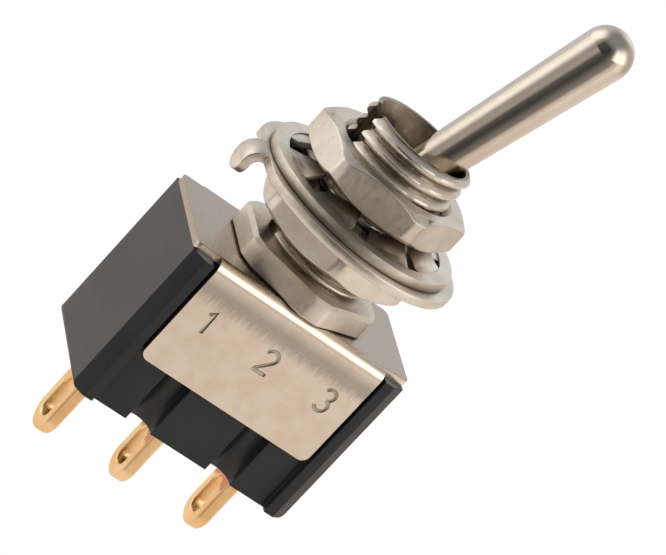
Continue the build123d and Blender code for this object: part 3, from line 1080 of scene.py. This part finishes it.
@dataclass
class Frame:
    """The folded sheet with terminal numbers stamped into the front flap."""

    finishes: Finishes
    node: bpy.types.Object
    digit_spread: float = 3.6 * MM
    digit_height: float = 1.3 * MM
    digit_foot: float = -3.5 * MM
    stroke_width: float = 0.2 * MM
    stroke_steps: int = 3
    stamp_depth: float = 0.07 * MM
    edge: EasedEdge = EasedEdge(0.09 * MM, 3)
    smoothing: float = 40.0

    def punch(self, stroke: Path, offset: float, face: float) -> bpy.types.Object:
        """Makes the rounded punch of one stroke, half sunk into the flap's face.

        Args:
            stroke: The stroke's points, as shares of the digit's height.
            offset: The digit's centre along X.
            face: The flap's outer face along Y.

        Returns:
            The closed mesh of the punch.
        """
        curve = bpy.data.curves.new("stroke", "CURVE")
        curve.dimensions = "3D"
        curve.bevel_depth = self.stroke_width / 2
        curve.bevel_resolution = self.stroke_steps
        curve.use_fill_caps = True
        line = curve.splines.new("POLY")
        line.points.add(len(stroke) - 1)
        for point, (across, up) in zip(line.points, stroke):
            point.co = (across * self.digit_height, 0.0, up * self.digit_height, 1.0)
        tube = link_object("stroke", curve)
        mesh = shown_mesh(tube)
        bpy.data.objects.remove(tube)
        flatten = Matrix.Diagonal((1.0, 2 * self.stamp_depth / self.stroke_width, 1.0, 1.0))
        mesh.transform(Matrix.Translation((offset, face, self.digit_foot)) @ flatten)
        # The punch's faces carry the painted shade finish into the cut strokes.
        mesh.materials.clear()
        mesh.materials.append(self.finishes.stamp_shade)
        return link_object("punch", mesh)

    def build(self) -> list[bpy.types.Object]:
        """Builds and dresses the frame.

        Returns:
            The new pieces.
        """
        flap_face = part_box("frame")[0].y
        sheet = link_object("frame_sheet", self.node.data.copy())
        self.edge.add(sheet)
        settle(sheet)
        polish(sheet, self.finishes.sheet, self.smoothing)
        for k, digit in enumerate(Digit):
            for stroke in digit.value:
                cut(sheet, self.punch(stroke, (k - 1) * self.digit_spread, flap_face))
        sheet.data.set_sharp_from_angle(angle=math.radians(self.smoothing))
        steady_normals(sheet)
        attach(sheet, "body")
        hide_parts("frame")
        return [sheet]


@dataclass
class PlungerSpring:
    """The coil inside the lever, which moves with the lever."""

    finishes: Finishes
    node: bpy.types.Object
    joints: dict[str, dict]
    slack: float = 0.02

    def build(self) -> list[bpy.types.Object]:
        """Builds and dresses the spring.

        Returns:
            The new pieces.
        """
        coil = link_object("spring_coil", self.node.data.copy())
        polish(coil, self.finishes.steel)
        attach(coil, "lever")
        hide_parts("plunger_spring")
        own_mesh(coil)
        return [coil]


@dataclass
class SolidDressing:
    """Pieces whose solids are shown as they are, each with its finish, and eased edges on some."""

    finishes: Finishes
    nodes: dict[str, bpy.types.Object]
    smoothing: float = 30.0
    eased: dict[str, float] = field(
        default_factory=lambda: {
            "housing": 0.12 * MM,
            "lower_nut": 0.06 * MM,
            "upper_nut": 0.06 * MM,
            "locating_ring": 0.1 * MM,
            "lock_washer": 0.06 * MM,
            "terminal_common": 0.04 * MM,
            "terminal_left": 0.04 * MM,
            "terminal_right": 0.04 * MM,
        }
    )

    def finish_of(self, node: str) -> bpy.types.Material:
        """Chooses the finish of a solid by its name.

        Args:
            node: The solid's name.

        Returns:
            Its material.
        """
        plain = self.finishes
        table = {
            "housing": plain.moulding,
            "lever": plain.lever,
            "lock_washer": plain.washer,
            "pivot_pin": plain.steel,
            "plunger": plain.nylon,
            "rocker": plain.strip,
            "terminal_common": plain.gold_with_painted_side_shade,
            "terminal_left": plain.gold,
            "terminal_right": plain.gold_with_painted_side_shade,
        }
        if node.startswith(("contact", "pad")):
            return plain.silver
        return table.get(node, plain.nickel)

    def build(self) -> list[bpy.types.Object]:
        """Dresses the solids.

        Returns:
            The dressed objects.
        """
        for name, obj in self.nodes.items():
            polish(obj, self.finish_of(name), self.smoothing)
            if name in self.eased:
                EasedEdge(self.eased[name]).add(obj)
                steady_normals(obj)
        return list(self.nodes.values())


Wall = tuple[float, float, Glow]


class Room(Wiring):
    """The soft walls, ceiling and table that light the switch from all round."""

    full_turn: float = 360.0

    def __init__(self, tree: bpy.types.NodeTree) -> None:
        """Finds the direction that is looked in.

        Args:
            tree: The world's nodes.
        """
        super().__init__(tree)
        self.way = self.node("ShaderNodeTexCoord").outputs["Generated"]

    def walls(self, stops: tuple[Wall, ...], peak: float) -> Socket:
        """Grades the light round the horizon.

        Args:
            stops: Bearings from the +X axis in degrees, each with its brightness and tint.
            peak: Brightness that a colour of one stands for.

        Returns:
            The colour socket.
        """
        parts = self.node("ShaderNodeSeparateXYZ")
        self.join(self.way, parts.inputs["Vector"])
        bearing = self.reckon("ARCTAN2", parts.outputs["Y"], parts.outputs["X"])
        turns = self.reckon("MULTIPLY", bearing, 0.5 / math.pi)
        wrapped = self.reckon("FLOORED_MODULO", turns, 1.0)
        closed = (*stops, (self.full_turn, *stops[0][1:]))
        shades = [
            (degrees / self.full_turn, glow.at(level / peak)) for degrees, level, glow in closed
        ]
        return self.ramp(wrapped, shades, "EASE")

    def fade(self, shade: Socket, other: Socket | Colour, along: Socket, edge: Range) -> Socket:
        """Fades the room's light into another light.

        Args:
            shade: The colour so far.
            other: The colour that it ends in.
            along: The value that the fade follows.
            edge: Where the fade starts and ends.

        Returns:
            The new colour socket.
        """
        return self.mixed(self.span(along, RISE, edge, "SMOOTHSTEP"), shade, other)

    def light(self, shade: Socket, strength: float) -> None:
        """Lights the scene with the room and shows plain white to the eye.

        Args:
            shade: The room's colour.
            strength: Brightness that a colour of one stands for.
        """
        back = self.tree.nodes["Background"]
        self.feed(strength, back.inputs["Strength"])
        self.join(shade, back.inputs["Color"])
        white = self.node("ShaderNodeBackground")
        self.feed(Glow.PLAIN.opaque, white.inputs["Color"])
        self.feed(1.0, white.inputs["Strength"])
        output = self.tree.nodes["World Output"].inputs["Surface"]
        self.shown(back.outputs["Background"], white.outputs["Background"], 1.0, output)


@dataclass(frozen=True)
class Lamp:
    """A soft square lamp, with its place, its side in metres and its power in watts."""

    name: str
    place: Triple
    size: float
    power: float
    colour: Triple = (1.0, 0.985, 0.96)

    def hang(self, aim: Vector) -> None:
        """Adds the lamp.

        Args:
            aim: The point that it faces.
        """
        data = bpy.data.lights.new(self.name, "AREA")
        data.size = self.size
        data.energy = self.power
        data.color = self.colour
        obj = link_object(self.name, data)
        obj.location = self.place
        obj.rotation_euler = (aim - Vector(self.place)).to_track_quat("-Z", "Y").to_euler()
        obj.visible_glossy = False


@dataclass
class Studio:
    """The pale floor, the soft light and the camera."""

    floor_drop: float = 26 * MM
    floor_reach: float = 1.5
    floor_roughness: float = 0.9
    floor_white: float = 0.75
    eye: Triple = (-79.24 * MM, -161.3 * MM, 58.53 * MM)
    right: Triple = (0.747, -0.1422, 0.6495)
    down: Triple = (0.5103, -0.5036, -0.6971)
    forward: Triple = (0.4262, 0.8522, -0.3036)
    lens: float = 216.2
    sensor: float = 36.0
    clip: Range = (0.001, 5.0)
    key: Lamp = Lamp("key", (-0.34, -0.10, 0.16), 0.26, 0.7)
    backdrop: Lamp = Lamp("backdrop", (-0.12, 0.30, 0.30), 0.3, 1.6)
    backdrop_aim: tuple[float, float] = (-0.1, 0.28)
    low_walls: tuple[Wall, ...] = (
        (0.0, 0.60, Glow.WARM),
        (45.0, 0.70, Glow.DUSKY),
        (80.0, 0.68, Glow.PLAIN),
        (122.0, 0.78, Glow.PLAIN),
        (143.0, 1.22, Glow.WINDOW),
        (160.0, 1.40, Glow.WINDOW),
        (173.0, 1.12, Glow.WINDOW),
        (186.0, 0.50, Glow.DUSKY),
        (212.0, 0.50, Glow.DUSKY),
        (228.0, 0.12, Glow.DUSKY),
        (246.0, 0.07, Glow.DUSKY),
        (285.0, 0.25, Glow.DUSKY),
        (302.0, 0.75, Glow.WARM),
        (322.0, 1.12, Glow.WARM),
    )
    high_walls: tuple[Wall, ...] = (
        (0.0, 0.62, Glow.WARM),
        (25.0, 0.62, Glow.DUSKY),
        (48.0, 1.08, Glow.PLAIN),
        (80.0, 0.58, Glow.PLAIN),
        (105.0, 0.72, Glow.PLAIN),
        (142.0, 1.50, Glow.WINDOW),
        (162.0, 1.40, Glow.WINDOW),
        (182.0, 0.42, Glow.DUSKY),
        (200.0, 0.09, Glow.DUSKY),
        (245.0, 0.05, Glow.DUSKY),
        (268.0, 0.16, Glow.DUSKY),
        (290.0, 1.60, Glow.WINDOW),
        (325.0, 1.60, Glow.WINDOW),
    )
    wall_edge: Range = (0.12, 0.20)
    ceiling: float = 0.31
    ceiling_edge: Range = (0.58, 0.94)
    table: float = 0.88
    table_edge: Range = (-0.20, -0.44)
    table_axis: Triple = (-0.05, -0.087, 1.0)

    def camera(self) -> None:
        """Places the camera."""
        data = bpy.data.cameras.new("camera")
        data.lens = self.lens
        data.sensor_width = self.sensor
        data.sensor_fit = "HORIZONTAL"
        data.clip_start, data.clip_end = self.clip
        obj = link_object("camera", data)
        axes = [Vector(self.right), -Vector(self.down), -Vector(self.forward)]
        turn = Matrix([axis.normalized() for axis in axes]).transposed().to_4x4()
        obj.matrix_world = Matrix.Translation(self.eye) @ turn
        bpy.context.scene.camera = obj

    def floor(self, low: Vector) -> None:
        """Lays the floor.

        Args:
            low: The lowest corner of the switch.
        """
        bm = bmesh.new()
        bmesh.ops.create_grid(bm, x_segments=1, y_segments=1, size=self.floor_reach)
        bmesh.ops.translate(bm, vec=(0, 0, low.z - self.floor_drop), verts=bm.verts)
        obj = link_object("floor", mesh_from(bm, "floor"))
        shader = Shader("floor_paper")
        shader.give("Roughness", self.floor_roughness)
        shader.give("Base Color", Tone.PAPER.opaque)
        glow = shader.node("ShaderNodeEmission")
        shader.feed(1.0, glow.inputs["Strength"])
        output = shader.tree.nodes["Material Output"].inputs["Surface"]
        lit, seen = shader.surface.outputs["BSDF"], glow.outputs["Emission"]
        shader.shown(lit, seen, self.floor_white, output)
        obj.data.materials.append(shader.material)
        obj.visible_glossy = False
        obj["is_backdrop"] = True

    def world(self) -> None:
        """Sets the sky: white to the eye, and a room of soft walls for light and reflections."""
        world = bpy.data.worlds.new("studio")
        bpy.context.scene.world = world
        world.use_nodes = True
        room = Room(world.node_tree)
        peak = max(level for _, level, _ in (*self.low_walls, *self.high_walls))
        height = room.dot(room.way, (0.0, 0.0, 1.0))
        low, high = room.walls(self.low_walls, peak), room.walls(self.high_walls, peak)
        shade = room.fade(low, high, height, self.wall_edge)
        shade = room.fade(shade, Glow.PLAIN.at(self.ceiling / peak), height, self.ceiling_edge)
        table = room.dot(room.way, self.table_axis)
        shade = room.fade(shade, Glow.WARM.at(self.table / peak), table, self.table_edge)
        room.light(shade, peak)

    def build(self, low: Vector) -> None:
        """Builds the studio.

        Args:
            low: The lowest corner of the switch.
        """
        self.world()
        self.floor(low)
        self.key.hang(Vector())
        self.backdrop.hang(Vector((*self.backdrop_aim, low.z)))
        self.camera()


def main() -> None:
    """Loads the frame, then builds and dresses every sub-assembly of the switch."""
    logging.basicConfig(level=logging.INFO, format="%(name)s: %(message)s")
    for obj in list(bpy.data.objects):
        bpy.data.objects.remove(obj)
    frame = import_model()
    solid_low, solid_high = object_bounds()
    mounts = {mount["name"]: mount for mount in frame["record"]["mounts"]}
    joints = {joint["name"]: joint for joint in frame["record"]["behaviour"]["joints"]}
    finishes = Finishes()
    made = SolidDressing(finishes, frame["nodes"]).build()
    made += Bushing(finishes, mounts["bushing"]["dims"]["r_mm"] * MM).build()
    made += Frame(finishes, frame["nodes"]["frame"]).build()
    made += PlungerSpring(finishes, frame["nodes"]["plunger_spring"], joints).build()
    for piece in made:
        LOG.info("piece %s, %d faces", piece.name, len(piece.data.polygons))
    Studio().build(solid_low)
    bpy.context.scene.view_settings.view_transform = "Standard"


if __name__ == "__main__":
    main()
